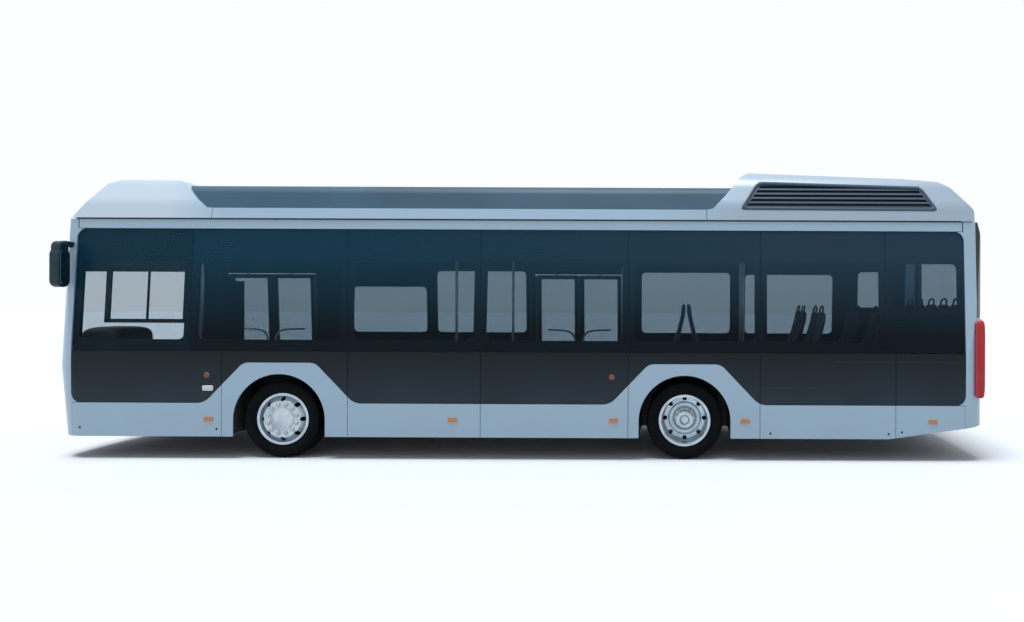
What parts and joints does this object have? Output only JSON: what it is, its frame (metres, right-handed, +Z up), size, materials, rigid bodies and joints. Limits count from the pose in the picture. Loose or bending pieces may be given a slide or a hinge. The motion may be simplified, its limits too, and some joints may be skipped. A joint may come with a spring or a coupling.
{
  "type": "hydrogen city bus",
  "caption": "Low-floor single-deck hydrogen city bus with a dark glass band, roof fairings over the tanks and fuel cell, and inward-swinging double doors.",
  "frame": {"origin": "centre of the bounding box, on the ground under the tyres", "axes": "+X runs along the bus from its front to its rear, so the bus faces -X; +Y to the bus's right, the door side; +Z up"},
  "size_m": [10.7968, 2.88, 3.358],
  "materials": {
    "silver_paint": "gloss",
    "black_gloss": "gloss",
    "tinted_glass": "gloss",
    "clear_glass": "gloss",
    "door_glass": "gloss",
    "wall_trim": "matte",
    "floor_vinyl": "matte",
    "frame_steel": "matte",
    "cowl_grey": "satin",
    "grille_grey": "satin",
    "lamp_clear": "gloss",
    "lamp_red": "gloss",
    "lamp_amber": "gloss",
    "black_plastic": "matte",
    "dark_plastic": "matte",
    "seat_cloth": "matte",
    "rail_steel": "satin",
    "tank_composite": "matte",
    "cast_housing": "satin",
    "cast_axle": "matte",
    "tyre_rubber": "matte",
    "wheel_alloy": "satin"
  },
  "bodies": {
    "bus_body": {"underframe": "frame_steel", "floor_deck": "floor_vinyl", "wheel_boxes": "floor_vinyl", "rear_platform": "floor_vinyl", "left_wall": "wall_trim", "right_wall": "wall_trim", "side_skirts": "silver_paint", "waist_bands": "black_gloss", "side_glazing": "tinted_glass", "front_mask": "silver_paint", "windscreen": "clear_glass", "rear_mask": "silver_paint", "rear_window": "tinted_glass", "roof_panel": "silver_paint", "roof_fairings": "silver_paint", "tank_cowl": "cowl_grey", "roof_grilles": "grille_grey", "headlamps": "lamp_clear", "tail_lamps": "lamp_red", "side_markers": "lamp_amber", "mirrors": "black_plastic", "dashboard": "dark_plastic", "cab_partition": "dark_plastic", "seat_cushions": "seat_cloth", "seat_backs": "seat_cloth", "handrails": "rail_steel", "hydrogen_tanks": "tank_composite", "roof_battery": "frame_steel", "fuel_cell": "frame_steel", "traction_motor": "cast_housing", "front_axle": "cast_axle", "rear_axle": "cast_axle"},
    "left_knuckle_body": {"left_knuckle": "cast_axle"},
    "front_left_wheel_body": {"front_left_tyre": "tyre_rubber", "front_left_wheel": "wheel_alloy"},
    "rear_left_wheel_body": {"rear_left_tyres": "tyre_rubber", "rear_left_wheels": "wheel_alloy"},
    "right_knuckle_body": {"right_knuckle": "cast_axle"},
    "front_right_wheel_body": {"front_right_tyre": "tyre_rubber", "front_right_wheel": "wheel_alloy"},
    "rear_right_wheel_body": {"rear_right_tyres": "tyre_rubber", "rear_right_wheels": "wheel_alloy"},
    "front_door_front_leaf_arms_body": {"front_door_front_leaf_arms": "rail_steel"},
    "front_door_front_leaf_body": {"front_door_front_leaf": "door_glass"},
    "front_door_rear_leaf_arms_body": {"front_door_rear_leaf_arms": "rail_steel"},
    "front_door_rear_leaf_body": {"front_door_rear_leaf": "door_glass"},
    "mid_door_front_leaf_arms_body": {"mid_door_front_leaf_arms": "rail_steel"},
    "mid_door_front_leaf_body": {"mid_door_front_leaf": "door_glass"},
    "mid_door_rear_leaf_arms_body": {"mid_door_rear_leaf_arms": "rail_steel"},
    "mid_door_rear_leaf_body": {"mid_door_rear_leaf": "door_glass"},
    "rear_hatch_body": {"rear_hatch": "silver_paint"}
  },
  "joints": [
    {"name": "front_left_steer", "type": "hinge", "parent": "bus_body", "child": "left_knuckle_body", "pos_m": [-2.71, -0.88, 0.445], "axis": [0, 0, 1], "range_deg": [-40, 40]},
    {"name": "front_left_roll", "type": "hinge", "parent": "left_knuckle_body", "child": "front_left_wheel_body", "pos_m": [-2.71, -1.057, 0.445], "axis": [0, 1, 0], "continuous": true},
    {"name": "rear_left_roll", "type": "hinge", "parent": "bus_body", "child": "rear_left_wheel_body", "pos_m": [1.92, -0.903, 0.445], "axis": [0, 1, 0], "continuous": true},
    {"name": "front_right_steer", "type": "hinge", "parent": "bus_body", "child": "right_knuckle_body", "pos_m": [-2.71, 0.88, 0.445], "axis": [0, 0, 1], "range_deg": [-40, 40]},
    {"name": "front_right_roll", "type": "hinge", "parent": "right_knuckle_body", "child": "front_right_wheel_body", "pos_m": [-2.71, 1.057, 0.445], "axis": [0, 1, 0], "continuous": true},
    {"name": "rear_right_roll", "type": "hinge", "parent": "bus_body", "child": "rear_right_wheel_body", "pos_m": [1.92, 0.903, 0.445], "axis": [0, 1, 0], "continuous": true},
    {"name": "front_door_front_leaf_pillar", "type": "hinge", "parent": "bus_body", "child": "front_door_front_leaf_arms_body", "pos_m": [-4.796, 1.1, 1.2], "axis": [0, 0, -1], "range_deg": [0, 85]},
    {"name": "front_door_front_leaf_swing", "type": "hinge", "parent": "front_door_front_leaf_arms_body", "child": "front_door_front_leaf_body", "pos_m": [-4.42701, 1.1, 1.2], "axis": [0, 0, 1], "range_deg": [0, 170]},
    {"name": "front_door_rear_leaf_pillar", "type": "hinge", "parent": "bus_body", "child": "front_door_rear_leaf_arms_body", "pos_m": [-3.42, 1.1, 1.2], "axis": [0, 0, 1], "range_deg": [0, 85]},
    {"name": "front_door_rear_leaf_swing", "type": "hinge", "parent": "front_door_rear_leaf_arms_body", "child": "front_door_rear_leaf_body", "pos_m": [-3.78899, 1.1, 1.2], "axis": [0, 0, -1], "range_deg": [0, 170]},
    {"name": "mid_door_front_leaf_pillar", "type": "hinge", "parent": "bus_body", "child": "mid_door_front_leaf_arms_body", "pos_m": [-0.313, 1.1, 1.2], "axis": [0, 0, -1], "range_deg": [0, 85]},
    {"name": "mid_door_front_leaf_swing", "type": "hinge", "parent": "mid_door_front_leaf_arms_body", "child": "mid_door_front_leaf_body", "pos_m": [0.056, 1.1, 1.2], "axis": [0, 0, 1], "range_deg": [0, 170]},
    {"name": "mid_door_rear_leaf_pillar", "type": "hinge", "parent": "bus_body", "child": "mid_door_rear_leaf_arms_body", "pos_m": [1.063, 1.1, 1.2], "axis": [0, 0, 1], "range_deg": [0, 85]},
    {"name": "mid_door_rear_leaf_swing", "type": "hinge", "parent": "mid_door_rear_leaf_arms_body", "child": "mid_door_rear_leaf_body", "pos_m": [0.694, 1.1, 1.2], "axis": [0, 0, -1], "range_deg": [0, 170]},
    {"name": "rear_hatch_lift", "type": "hinge", "parent": "bus_body", "child": "rear_hatch_body", "pos_m": [5.392, 0, 1.556], "axis": [0, -1, 0], "range_deg": [0, 75]}
  ],
  "couplings": [
    {"joint": "front_right_steer", "follows": "front_left_steer", "ratio": 1},
    {"joint": "front_door_front_leaf_swing", "follows": "front_door_front_leaf_pillar", "ratio": 2},
    {"joint": "front_door_rear_leaf_pillar", "follows": "front_door_front_leaf_pillar", "ratio": 1},
    {"joint": "front_door_rear_leaf_swing", "follows": "front_door_front_leaf_pillar", "ratio": 2},
    {"joint": "mid_door_front_leaf_swing", "follows": "mid_door_front_leaf_pillar", "ratio": 2},
    {"joint": "mid_door_rear_leaf_pillar", "follows": "mid_door_front_leaf_pillar", "ratio": 1},
    {"joint": "mid_door_rear_leaf_swing", "follows": "mid_door_front_leaf_pillar", "ratio": 2}
  ]
}
